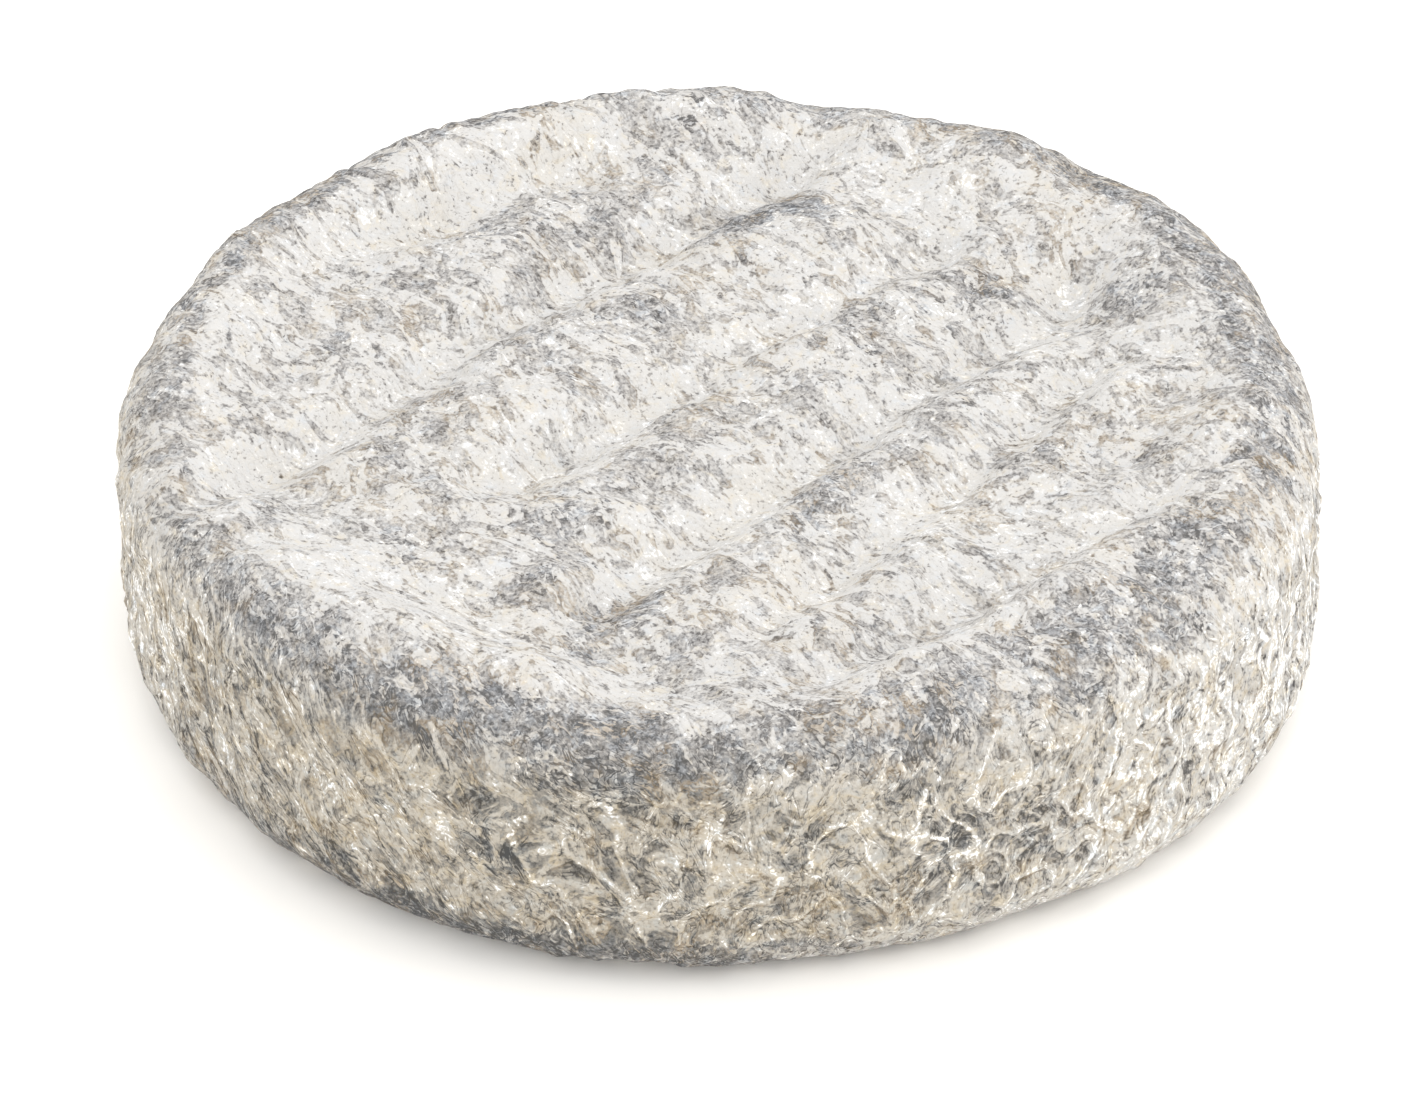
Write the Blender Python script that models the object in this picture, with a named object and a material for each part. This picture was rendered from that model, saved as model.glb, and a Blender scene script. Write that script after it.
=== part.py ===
# A small round cheese with a wrinkled ash rind: one solid wheel, in metres, +Z up.
# The wheel stands on its flat underside, and the origin is at the middle of its footprint.

import math
import random

import bmesh
import bpy
import numpy as np

# The wheel
RADIUS = 0.0475
HEIGHT = 0.0235
TOP_EDGE_RADIUS = 0.006
BOTTOM_EDGE_RADIUS = 0.005
SIDE_BULGE = 0.0004

# How far the outline leaves a circle: waves round the rim, cosine share, sine share
OUTLINE_WAVES = (
    (3, 0.00005, 0.00006),
    (4, -0.00032, -0.00013),
    (5, -0.00017, -0.00006),
)

# The raised rim and the sunken middle of the top
RIM_CREST = 0.0425
BASIN_FALL = 0.0085
BASIN_DEPTH = 0.0024

# Where the rim swells inward or is worn low: bearing, half width (degrees), inward, raised
RIM_SWELLS = (
    (-36, 30, 0.0055, 0.0000),
    (-96, 15, -0.0010, -0.0012),
    (-128, 22, 0.0015, 0.0002),
    (78, 8, 0.0000, -0.0007),
    (112, 18, 0.0010, 0.0003),
    (24, 14, 0.0020, 0.0003),
    (186, 10, 0.0000, -0.0006),
)

# Marks of the drying rack across the top, seen along their own direction:
# distance from the middle, slope, bow, start, end, depth, half width
RACK_BEARING = math.radians(42)
TOP_MARKS = (
    (0.0365, -0.10, -0.0020, -0.018, 0.026, 0.0012, 0.0028),
    (0.0214, 0.07, -0.0010, -0.044, 0.037, 0.0019, 0.0025),
    (0.0053, 0.02, 0.0002, -0.024, 0.034, 0.0017, 0.0025),
    (-0.0096, 0.12, 0.0002, -0.030, 0.038, 0.0018, 0.0025),
    (-0.0205, 0.20, 0.0000, -0.022, 0.030, 0.0013, 0.0024),
    (-0.0330, -0.02, 0.0008, -0.024, 0.020, 0.0012, 0.0023),
)
MARK_FADE = 0.006
BOW_SPAN = 0.030

# Broad hollows in the top: along, across, half length, half width, depth
TOP_HOLLOWS = (
    (-0.033, -0.006, 0.007, 0.008, 0.0012),
    (-0.012, 0.003, 0.009, 0.003, 0.0009),
    (0.034, 0.016, 0.006, 0.007, 0.0008),
    (0.003, -0.021, 0.005, 0.003, 0.0006),
)

# Underside: flat lands between shallower marks of the same rack
UNDER_PITCH = 0.016
UNDER_DEPTH = 0.0010
UNDER_HALF_WIDTH = 0.0038
UNDER_REACH = 0.036
UNDER_FADE = 0.006

# Uneven skin: wavelength, height, seed
SWELLS = (
    (0.030, 0.00030, 11),
    (0.013, 0.00024, 12),
    (0.0080, 0.00014, 13),
)
WAVES_PER_SWELL = 14

# The side swells less than the top
SIDE_SWELL_SHARE = 0.45

# Mesh: cells across the face, cells down the side; its rows run along the rack marks
FACE_CELLS = 42
SIDE_CELLS = 10

RIND_COLOUR = (0.55, 0.54, 0.51, 1.0)
RIND_ROUGHNESS = 0.85


def clear_scene():
    for item in list(bpy.data.objects):
        bpy.data.objects.remove(item, do_unlink=True)


def smooth_step(value):
    value = np.clip(value, 0.0, 1.0)
    return value * value * (3.0 - 2.0 * value)


def bell(value):
    return np.exp(-value * value)


def rind_material():
    material = bpy.data.materials.new("ash_rind")
    material.use_nodes = True
    shader = material.node_tree.nodes["Principled BSDF"]
    shader.inputs["Base Color"].default_value = RIND_COLOUR
    shader.inputs["Roughness"].default_value = RIND_ROUGHNESS
    shader.inputs["Metallic"].default_value = 0.0
    return material


def outline_offset(angle):
    """How far the outline stands out of the circle at a bearing."""
    total = np.zeros_like(angle)
    for count, cosine, sine in OUTLINE_WAVES:
        total += cosine * np.cos(count * angle) + sine * np.sin(count * angle)
    return total


# The half profile runs from the middle of the top, over the edge, down and back to the middle
TOP_RUN = RADIUS - TOP_EDGE_RADIUS
TOP_BEND = TOP_EDGE_RADIUS * math.pi / 2
SIDE_RUN = HEIGHT - TOP_EDGE_RADIUS - BOTTOM_EDGE_RADIUS
BOTTOM_BEND = BOTTOM_EDGE_RADIUS * math.pi / 2
BOTTOM_RUN = RADIUS - BOTTOM_EDGE_RADIUS


def half_profile(run):
    """Distance from the axis, height, and the outward direction, by distance along the profile."""
    bend_start = TOP_RUN
    side_start = bend_start + TOP_BEND
    side_end = side_start + SIDE_RUN
    bend_end = side_end + BOTTOM_BEND

    top_turn = np.clip((run - bend_start) / TOP_EDGE_RADIUS, 0.0, math.pi / 2)
    bottom_turn = np.clip((run - side_end) / BOTTOM_EDGE_RADIUS, 0.0, math.pi / 2)
    down = np.clip(run - side_start, 0.0, SIDE_RUN)
    inward = np.clip(run - bend_end, 0.0, None)

    out = np.minimum(run, TOP_RUN)
    out = out + TOP_EDGE_RADIUS * np.sin(top_turn)
    out = out - BOTTOM_EDGE_RADIUS * (1.0 - np.cos(bottom_turn)) - inward
    height = HEIGHT - TOP_EDGE_RADIUS * (1.0 - np.cos(top_turn))
    height = height - down - BOTTOM_EDGE_RADIUS * np.sin(bottom_turn)

    lean = top_turn + bottom_turn
    return out, height, np.sin(lean), np.cos(lean)


def rim_shape(angle):
    """How far the rim reaches inward and how much it is raised, by bearing."""
    inward = np.zeros_like(angle)
    raised = np.zeros_like(angle)
    for bearing, half_width, reach, lift in RIM_SWELLS:
        apart = angle - math.radians(bearing)
        apart = np.arctan2(np.sin(apart), np.cos(apart))
        share = bell(apart / math.radians(half_width))
        inward += reach * share
        raised += lift * share
    return inward, raised


def rack_axes(x, y):
    along = x * math.cos(RACK_BEARING) + y * math.sin(RACK_BEARING)
    across = -x * math.sin(RACK_BEARING) + y * math.cos(RACK_BEARING)
    return along, across


def top_relief(x, y):
    """Height of the top above its flat form: basin, rim, rack marks and hollows."""
    distance = np.hypot(x, y)
    inward, raised = rim_shape(np.arctan2(y, x))
    basin = smooth_step((RIM_CREST - inward - distance) / BASIN_FALL)
    relief = raised * smooth_step((distance - RIM_CREST + BASIN_FALL) / BASIN_FALL)
    relief -= BASIN_DEPTH * basin

    along, across = rack_axes(x, y)
    for middle, slope, bow, start, end, depth, half_width in TOP_MARKS:
        line = middle + slope * along + bow * (along / BOW_SPAN) ** 2
        ends = smooth_step((along - start) / MARK_FADE) * smooth_step((end - along) / MARK_FADE)
        relief -= depth * ends * bell((across - line) / half_width)
    for centre, side, half_length, half_width, depth in TOP_HOLLOWS:
        apart = np.hypot((along - centre) / half_length, (across - side) / half_width)
        relief -= depth * bell(apart)
    return relief


def underside_relief(x, y):
    """Height of the rack marks above the flat lands of the underside."""
    across = rack_axes(x, y)[1]
    nearest = (across / UNDER_PITCH) % 1.0 - 0.5
    inside = smooth_step((UNDER_REACH - np.hypot(x, y)) / UNDER_FADE)
    profile = np.clip(1.0 - (nearest * UNDER_PITCH / UNDER_HALF_WIDTH) ** 2, 0.0, None)
    return UNDER_DEPTH * inside * profile ** 2


def skin_swell(points, wavelength, height, seed):
    """Smooth uneven relief: seeded plane waves of about one wavelength, added up."""
    draw = random.Random(seed)
    total = np.zeros(len(points))
    for _ in range(WAVES_PER_SWELL):
        turn = draw.uniform(0.0, 2.0 * math.pi)
        rise = draw.uniform(-1.0, 1.0)
        flat = math.sqrt(1.0 - rise * rise)
        direction = np.array((flat * math.cos(turn), flat * math.sin(turn), rise))
        stretch = draw.uniform(0.8, 1.3)
        phase = draw.uniform(0.0, 2.0 * math.pi)
        total += np.sin(points @ direction * (2.0 * math.pi * stretch / wavelength) + phase)
    return total * height * math.sqrt(2.0 / WAVES_PER_SWELL)


def lattice_box(mesh, cells):
    """A cube of side 2 whose faces are cut into even cells."""
    bmesh.ops.create_cube(mesh, size=2.0)
    for axis, count in enumerate(cells):
        edges = [
            edge for edge in mesh.edges
            if abs(edge.verts[0].co[axis] - edge.verts[1].co[axis]) > 1.0
        ]
        bmesh.ops.subdivide_edges(mesh, edges=edges, cuts=count - 1, use_grid_fill=True)


def square_bearing(x, y):
    """Bearing of a point of the square once the square is drawn out into a disc."""
    wide = np.abs(x) >= np.abs(y)
    safe_x = np.where(wide & (np.abs(x) > 0.0), x, 1.0)
    safe_y = np.where(~wide, y, 1.0)
    sideways = math.pi / 4 * y / safe_x + np.where(x < 0.0, math.pi, 0.0)
    lengthways = math.pi / 2 - math.pi / 4 * x / safe_y + np.where(y < 0.0, math.pi, 0.0)
    return np.where(wide, sideways, lengthways)


def wheel_points(box):
    """Move the points of the cut cube onto the wheel."""
    x, y, z = box[:, 0], box[:, 1], box[:, 2]
    ring = np.maximum(np.abs(x), np.abs(y))
    angle = square_bearing(x, y) + RACK_BEARING

    face_run = TOP_RUN + TOP_BEND / 2
    side_run = TOP_BEND / 2 + SIDE_RUN + BOTTOM_BEND / 2
    under_run = BOTTOM_BEND / 2 + BOTTOM_RUN
    on_side = ring > 1.0 - 1e-5
    run = np.where(z > 0.0, face_run * ring, face_run + side_run + under_run * (1.0 - ring))
    run = np.where(on_side, face_run + side_run * (1.0 - z) / 2, run)

    out, height, sideways, upward = half_profile(run)
    stretch = 1.0 + outline_offset(angle) / RADIUS
    x = out * stretch * np.cos(angle)
    y = out * stretch * np.sin(angle)
    outward = np.stack((sideways * np.cos(angle), sideways * np.sin(angle), upward), axis=1)
    base = np.stack((x, y, height), axis=1)

    skin = sum(skin_swell(base, *swell) for swell in SWELLS)
    skin *= 1.0 - (1.0 - SIDE_SWELL_SHARE) * smooth_step(sideways)
    skin += SIDE_BULGE * sideways * np.sin(math.pi * height / HEIGHT)
    top_share = np.clip(upward, 0.0, 1.0)
    under_share = np.clip(-upward, 0.0, 1.0)
    points = base + outward * (skin * (1.0 - under_share))[:, None]
    points[:, 2] += top_share * top_relief(x, y) + under_share * underside_relief(x, y)
    return points


def centred(points):
    """Put the middle of the footprint at the origin, and the lands at height zero."""
    low = points.min(axis=0)
    high = points.max(axis=0)
    middle = (low + high) / 2
    return points - np.array((middle[0], middle[1], low[2]))


def make_wheel():
    mesh = bmesh.new()
    lattice_box(mesh, (FACE_CELLS, FACE_CELLS, SIDE_CELLS))
    box = np.array([vertex.co[:] for vertex in mesh.verts])
    for vertex, place in zip(mesh.verts, centred(wheel_points(box))):
        vertex.co = place
    bmesh.ops.triangulate(mesh, faces=mesh.faces[:], quad_method="SHORT_EDGE")
    bmesh.ops.recalc_face_normals(mesh, faces=mesh.faces[:])
    for face in mesh.faces:
        face.smooth = True
    data = bpy.data.meshes.new("cheese_wheel")
    mesh.to_mesh(data)
    mesh.free()
    data.materials.append(rind_material())
    wheel = bpy.data.objects.new("cheese_wheel", data)
    bpy.context.collection.objects.link(wheel)
    return wheel


clear_scene()
make_wheel()
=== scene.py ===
import math
import random

import bpy
import numpy as np
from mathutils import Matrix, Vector


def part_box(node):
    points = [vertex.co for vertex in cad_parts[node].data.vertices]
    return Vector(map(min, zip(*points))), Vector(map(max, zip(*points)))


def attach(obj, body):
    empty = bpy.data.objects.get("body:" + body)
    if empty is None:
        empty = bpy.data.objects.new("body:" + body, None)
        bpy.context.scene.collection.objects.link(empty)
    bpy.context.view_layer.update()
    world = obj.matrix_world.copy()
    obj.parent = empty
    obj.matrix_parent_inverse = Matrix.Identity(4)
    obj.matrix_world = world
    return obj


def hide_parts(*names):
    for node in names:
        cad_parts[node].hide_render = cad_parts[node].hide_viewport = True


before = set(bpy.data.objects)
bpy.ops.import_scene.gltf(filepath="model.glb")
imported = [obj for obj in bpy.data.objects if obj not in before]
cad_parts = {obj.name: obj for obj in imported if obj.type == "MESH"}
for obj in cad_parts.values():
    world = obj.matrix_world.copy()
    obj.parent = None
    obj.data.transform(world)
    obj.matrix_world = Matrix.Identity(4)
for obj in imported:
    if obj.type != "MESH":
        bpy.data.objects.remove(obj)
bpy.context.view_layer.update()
print("frame loaded:", ", ".join(sorted(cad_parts)))

mm = 0.001  # shapes are worked out in millimetres

# plain sRGB, so that the pale tones stay as they are set
bpy.context.scene.view_settings.view_transform = "Standard"
bpy.context.scene.view_settings.look = "None"


# camera, at the picture's angle
shot = {
    "width": 1420,
    "height": 1108,
    "elevation": 35.0,  # degrees above the table
    "distance": 700.0,  # mm from the wheel's middle
    "wheelMiddle": 11.75,  # mm above the table
    "pixelsPerMm": 12.56,  # at the wheel's middle
    "wheelAt": (719, 507),  # where the wheel's middle falls in the picture
    "sensor": 36.0,
}


def placeCamera(shot):
    middle = Vector((0, 0, shot["wheelMiddle"])) * mm
    lift = math.radians(shot["elevation"])
    back = Vector((0, -math.cos(lift), math.sin(lift)))
    right = Vector((1, 0, 0))
    up = back.cross(right)
    lens = bpy.data.cameras.new("shotCamera")
    lens.sensor_width = shot["sensor"]
    lens.lens = shot["sensor"] * shot["pixelsPerMm"] * shot["distance"] / shot["width"]
    lens.clip_start = 0.01
    lens.clip_end = 20
    camera = bpy.data.objects.new("shotCamera", lens)
    camera.location = middle + back * shot["distance"] * mm
    # it looks a little beside the wheel's middle, as the picture is framed
    besideX = (shot["wheelAt"][0] - shot["width"] / 2) / shot["pixelsPerMm"]
    besideY = (shot["height"] / 2 - shot["wheelAt"][1]) / shot["pixelsPerMm"]
    aim = middle - (right * besideX + up * besideY) * mm
    camera.rotation_euler = (aim - camera.location).to_track_quat("-Z", "Y").to_euler()
    bpy.context.scene.collection.objects.link(camera)
    bpy.context.scene.camera = camera


placeCamera(shot)
print("camera placed")


# material tools
class Link:  # a socket of a shader node that can be used in sums
    def __init__(self, tree, socket):
        self.tree = tree
        self.socket = socket

    def math(self, operation, first, second=0.0):
        return addNode(self.tree, "ShaderNodeMath", {"operation": operation}, {0: first, 1: second})

    def __add__(self, other):
        return self.math("ADD", self, other)

    def __radd__(self, other):
        return self.math("ADD", other, self)

    def __sub__(self, other):
        return self.math("SUBTRACT", self, other)

    def __rsub__(self, other):
        return self.math("SUBTRACT", other, self)

    def __mul__(self, other):
        return self.math("MULTIPLY", self, other)

    def __rmul__(self, other):
        return self.math("MULTIPLY", other, self)

    def __abs__(self):
        return self.math("ABSOLUTE", self)

    def atLeast(self, other):
        return self.math("MAXIMUM", self, other)

    def atMost(self, other):
        return self.math("MINIMUM", self, other)

    def rise(self, low, high):  # 0 below low, 1 above high, smooth between; also works downwards
        settings = {"interpolation_type": "SMOOTHSTEP"}
        values = {"Value": self, "From Min": low, "From Max": high}
        return addNode(self.tree, "ShaderNodeMapRange", settings, values)


def setStops(elements, stops):  # a new ramp has two stops of its own, and one of them has to stay
    elements.remove(elements[-1])
    elements[0].position, elements[0].color = stops[0]
    for place, colour in stops[1:]:
        elements.new(place).color = colour


def addNode(tree, kind, settings, values, output=0):
    node = tree.nodes.new(kind)
    for name, setting in settings.items():
        if name == "stops":
            setStops(node.color_ramp.elements, setting)
        else:
            setattr(node, name, setting)
    for name, value in values.items():
        if isinstance(value, Link):
            tree.links.new(value.socket, node.inputs[name])
        else:
            node.inputs[name].default_value = value
    return Link(tree, node.outputs[output])


def newMaterial(name):
    material = bpy.data.materials.new(name)
    material.use_nodes = True
    return material, material.node_tree, material.node_tree.nodes["Principled BSDF"]


def shade(red, green, blue, light=1.0):  # a screen colour, as it looks under so much light
    parts = [part / 255 for part in (red, green, blue)]
    lit = [part / 12.92 if part < 0.04045 else ((part + 0.055) / 1.055) ** 2.4 for part in parts]
    return (*[part / light for part in lit], 1.0)


# small tools for forms and noise
def smoothStep(value):
    value = np.clip(value, 0, 1)
    return value * value * (3 - 2 * value)


def between(value, low, high):  # 0 at low, 1 at high
    return smoothStep((value - low) / (high - low))


def bell(value):
    return np.exp(-value * value)


def window(value, start, end, fade):  # 1 between start and end
    return smoothStep((value - start) / fade + 0.5) * smoothStep((end - value) / fade + 0.5)


class Grain:  # smooth seeded noise, about -1 to 1
    def __init__(self, seed):
        draw = np.random.default_rng(seed)
        self.order = draw.permutation(256)
        slopes = draw.normal(size=(256, 3))
        self.slopes = slopes / np.linalg.norm(slopes, axis=1)[:, None]

    def at(self, points, size):
        places = points / np.array(size, dtype=float)
        corner = np.floor(places).astype(int)
        inside = places - corner
        ease = inside ** 3 * (inside * (inside * 6 - 15) + 10)
        total = np.zeros(len(points))
        for step in np.ndindex(2, 2, 2):
            cell = (corner + step) & 255
            pick = self.order[(self.order[cell[:, 0]] + cell[:, 1]) & 255]
            pick = self.order[(pick + cell[:, 2]) & 255]
            weight = np.prod(np.where(step, ease, 1 - ease), axis=1)
            total += weight * np.einsum("ij,ij->i", self.slopes[pick], inside - step)
        return total * 1.7


def drift(points, seed, size, reach):  # points pushed about by slow noise
    shifts = [Grain(seed + axis).at(points, size) for axis in range(3)]
    return points + reach * np.stack(shifts, axis=1)


# the cheese: one low wheel in an ash rind
wheel = {
    "node": "cheese_wheel",
    "radius": 47.5,
    "height": 23.5,
    "topEdge": 6.0,  # rounding of the upper edge
    "bottomEdge": 5.0,
    "sideBulge": 0.4,
    # waves round the outline: count, cosine share, sine share
    "outlineWaves": [(3, 0.05, 0.06), (4, -0.32, -0.13), (5, -0.17, -0.06)],
    "rimCrest": 42.5,
    "basinFall": 8.5,
    "basinDepth": 2.4,
    # bearing and half width in degrees, how far inward, how much raised
    "rimSwells": [
        (-36, 30, 5.5, 0.0),
        (-96, 15, -1.0, -1.2),
        (-128, 22, 1.5, 0.2),
        (78, 8, 0.0, -0.7),
        (112, 18, 1.0, 0.3),
        (24, 14, 2.0, 0.3),
        (186, 10, 0.0, -0.6),
    ],
    "rackBearing": 42.0,
    # marks of the drying rack: middle, slope, bow, start, end, depth, half width
    "rackMarks": [
        (36.5, -0.10, -2.0, -18, 26, 1.2, 2.8),
        (21.4, 0.07, -1.0, -44, 37, 1.9, 2.5),
        (5.3, 0.02, 0.2, -24, 34, 1.7, 2.5),
        (-9.6, 0.12, 0.2, -30, 38, 1.8, 2.5),
        (-20.5, 0.20, 0.0, -22, 30, 1.3, 2.4),
        (-33.0, -0.02, 0.8, -24, 20, 1.2, 2.3),
    ],
    "markFade": 6.0,
    "bowSpan": 30.0,
    # broad hollows: along, across, half length, half width, depth
    "hollows": [
        (-33, -6, 7, 8, 1.2),
        (-12, 3, 9, 3, 0.9),
        (34, 16, 6, 7, 0.8),
        (3, -21, 5, 3, 0.6),
    ],
    "underPitch": 16.0,
    "underDepth": 1.0,
    "underHalfWidth": 3.8,
    "underReach": 36.0,
    "underFade": 6.0,
    # uneven skin: wavelength, height, seed
    "swells": [(30.0, 0.30, 11), (13.0, 0.24, 12), (8.0, 0.14, 13)],
    "wavesPerSwell": 14,
    "sideSwellShare": 0.45,
    "faceCells": 208,  # mesh cells across the top
    "sideCells": 46,
    "underStep": 2,  # the underside's cells are this many times as wide
    # the flat layout for the bake: where its parts start, and their sizes
    "layout": {
        "topStart": 0.005,
        "topSize": 0.59,
        # the side lies in four strips, two by two
        "stripStart": (0.01, 0.61),
        "stripSize": (0.48, 0.18),
        "stripPitch": (0.5, 0.195),
        "underStart": (0.99, 0.01),
        "underSize": 0.38,
    },
}


def profileRuns(w):  # lengths along the half profile: top, side and underside of the cut box
    topRun = w["radius"] - w["topEdge"] + w["topEdge"] * math.pi / 4
    sideRun = (w["topEdge"] + w["bottomEdge"]) * math.pi / 4
    sideRun += w["height"] - w["topEdge"] - w["bottomEdge"]
    underRun = w["radius"] - w["bottomEdge"] + w["bottomEdge"] * math.pi / 4
    return topRun, sideRun, underRun


def halfProfile(run, w):  # from the middle of the top, over the edge, down and back to the middle
    flatRun = w["radius"] - w["topEdge"]
    sideStart = flatRun + w["topEdge"] * math.pi / 2
    sideRun = w["height"] - w["topEdge"] - w["bottomEdge"]
    sideEnd = sideStart + sideRun
    underStart = sideEnd + w["bottomEdge"] * math.pi / 2
    topTurn = np.clip((run - flatRun) / w["topEdge"], 0, math.pi / 2)
    bottomTurn = np.clip((run - sideEnd) / w["bottomEdge"], 0, math.pi / 2)
    out = np.minimum(run, flatRun) + w["topEdge"] * np.sin(topTurn)
    out = out - w["bottomEdge"] * (1 - np.cos(bottomTurn)) - np.clip(run - underStart, 0, None)
    height = w["height"] - w["topEdge"] * (1 - np.cos(topTurn))
    height = height - np.clip(run - sideStart, 0, sideRun) - w["bottomEdge"] * np.sin(bottomTurn)
    return out, height, topTurn + bottomTurn


def rimShape(angle, w):
    inward = np.zeros_like(angle)
    raised = np.zeros_like(angle)
    for bearing, halfWidth, reach, lift in w["rimSwells"]:
        share = bell(turnBetween(angle, bearing) / halfWidth)
        inward += reach * share
        raised += lift * share
    return inward, raised


def turnBetween(angle, bearing):  # degrees from the bearing, the short way round
    apart = angle - math.radians(bearing)
    return np.degrees(np.arctan2(np.sin(apart), np.cos(apart)))


def rackAxes(x, y, w):
    bearing = math.radians(w["rackBearing"])
    along = x * math.cos(bearing) + y * math.sin(bearing)
    across = -x * math.sin(bearing) + y * math.cos(bearing)
    return along, across


def markLine(mark, along, w):
    middle, slope, bow = mark[:3]
    return middle + slope * along + bow * (along / w["bowSpan"]) ** 2


def topRelief(x, y, w):  # height of the top's form, and where the floors of marks and hollows are
    distance = np.hypot(x, y)
    inward, raised = rimShape(np.arctan2(y, x), w)
    fall = w["basinFall"]
    relief = raised * smoothStep((distance - w["rimCrest"] + fall) / fall)
    relief -= w["basinDepth"] * smoothStep((w["rimCrest"] - inward - distance) / fall)
    along, across = rackAxes(x, y, w)
    floor = np.zeros_like(x)
    for mark in w["rackMarks"]:
        start, end, depth, halfWidth = mark[3:]
        ends = smoothStep((along - start) / w["markFade"]) * smoothStep((end - along) / w["markFade"])
        share = ends * bell((across - markLine(mark, along, w)) / halfWidth)
        relief -= depth * share
        floor = np.maximum(floor, share)
    for centre, side, halfLength, halfWidth, depth in w["hollows"]:
        share = bell(np.hypot((along - centre) / halfLength, (across - side) / halfWidth))
        relief -= depth * share
        floor = np.maximum(floor, 0.8 * share)
    return relief, floor


def underRelief(x, y, w):
    across = rackAxes(x, y, w)[1]
    nearest = (across / w["underPitch"]) % 1.0 - 0.5
    inside = smoothStep((w["underReach"] - np.hypot(x, y)) / w["underFade"])
    share = inside * np.clip(1 - (nearest * w["underPitch"] / w["underHalfWidth"]) ** 2, 0, None) ** 2
    return w["underDepth"] * share, share


def skinSwell(points, wavelength, height, seed, w):  # slow uneven relief
    draw = random.Random(seed)
    total = np.zeros(len(points))
    for _ in range(w["wavesPerSwell"]):
        turn = draw.uniform(0.0, 2.0 * math.pi)
        lift = draw.uniform(-1.0, 1.0)
        flat = math.sqrt(1.0 - lift * lift)
        direction = np.array((flat * math.cos(turn), flat * math.sin(turn), lift))
        stretch = draw.uniform(0.8, 1.3)
        phase = draw.uniform(0.0, 2.0 * math.pi)
        total += np.sin(points @ direction * (2.0 * math.pi * stretch / wavelength) + phase)
    return total * height * math.sqrt(2.0 / w["wavesPerSwell"])


def squareBearing(x, y):  # bearing of a point of the square once it is drawn out into a disc
    wide = np.abs(x) >= np.abs(y)
    safeX = np.where(wide & (np.abs(x) > 0), x, 1)
    safeY = np.where(~wide, y, 1)
    sideways = math.pi / 4 * y / safeX + np.where(x < 0, math.pi, 0)
    lengthways = math.pi / 2 - math.pi / 4 * x / safeY + np.where(y < 0, math.pi, 0)
    return np.where(wide, sideways, lengthways)


def cutBox(w):  # points of a finely cut box, its faces, and a flat layout for the bake
    n = w["faceCells"]
    rowsDown = w["sideCells"]
    step = w["underStep"]
    plan = w["layout"]
    topRun, sideRun, underRun = profileRuns(w)
    grid = np.linspace(-1, 1, n + 1)
    count = np.arange(n)
    ringI = np.concatenate((count, np.full(n, n), n - count, np.zeros(n, int)))
    ringJ = np.concatenate((np.zeros(n, int), count, np.full(n, n), n - count))

    topX, topY = [part.ravel() for part in np.meshgrid(grid, grid)]
    xs, ys = [topX], [topY]
    runs = [topRun * np.maximum(np.abs(topX), np.abs(topY))]
    for row in range(1, rowsDown + 1):
        xs.append(grid[ringI])
        ys.append(grid[ringJ])
        runs.append(np.full(4 * n, topRun + sideRun * row / rowsDown))
    start = (n + 1) ** 2
    rows = [ringJ * (n + 1) + ringI]
    rows += [start + row * 4 * n + np.arange(4 * n) for row in range(rowsDown)]
    underIndex = np.full((n + 1, n + 1), -1)
    underIndex[ringJ, ringI] = rows[-1]
    inner = np.arange(step, n, step)
    innerJ, innerI = [part.ravel() for part in np.meshgrid(inner, inner, indexing="ij")]
    underIndex[innerJ, innerI] = start + rowsDown * 4 * n + np.arange(len(innerI))
    xs.append(grid[innerI])
    ys.append(grid[innerJ])
    ring = np.maximum(np.abs(xs[-1]), np.abs(ys[-1]))
    runs.append(topRun + sideRun + underRun * (1 - ring))

    faces, layout = [], []
    j, i = [part.ravel() for part in np.meshgrid(count, count, indexing="ij")]
    corners = [(0, 0), (1, 0), (1, 1), (0, 1)]
    faces += np.stack([(j + down) * (n + 1) + i + over for over, down in corners], axis=1).tolist()
    for over, down in corners:
        share = np.stack(((i + over) / n, (j + down) / n), axis=1)
        layout.append(share * plan["topSize"] + plan["topStart"])
    layout = [np.stack(layout, axis=1).reshape(-1, 2)]
    across = np.arange(4 * n)
    strip = across // n
    stripCorner = plan["stripStart"] + np.stack((strip % 2, strip // 2), axis=1) * plan["stripPitch"]
    for row in range(rowsDown):
        upper, lower = rows[row], rows[row + 1]
        following = (across + 1) % (4 * n)
        faces += np.stack((lower, lower[following], upper[following], upper), axis=1).tolist()
        place = []
        for over, down in [(0, 1), (1, 1), (1, 0), (0, 0)]:
            share = (across - strip * n + over) / n, np.full(4 * n, 1 - (row + down) / rowsDown)
            place.append(stripCorner + np.stack(share, axis=1) * plan["stripSize"])
        layout.append(np.stack(place, axis=1).reshape(-1, 2))
    walk = [(0, 0), (0, 1), (0, 2), (1, 2), (2, 2), (2, 1), (2, 0), (1, 0)]
    flat = []
    startU, startV = plan["underStart"]
    pitch = plan["underSize"] / n
    for row in range(0, n, step):
        for column in range(0, n, step):
            spots = [(row + down * step // 2, column + over * step // 2) for over, down in walk]
            spots = [spot for spot in spots if underIndex[spot] >= 0]
            faces.append([int(underIndex[spot]) for spot in spots])
            flat += [(startU - pitch * over, startV + pitch * down) for down, over in spots]
    layout.append(np.array(flat))
    points = [np.concatenate(part) for part in (xs, ys, runs)]
    return points, faces, np.concatenate(layout)


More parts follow.
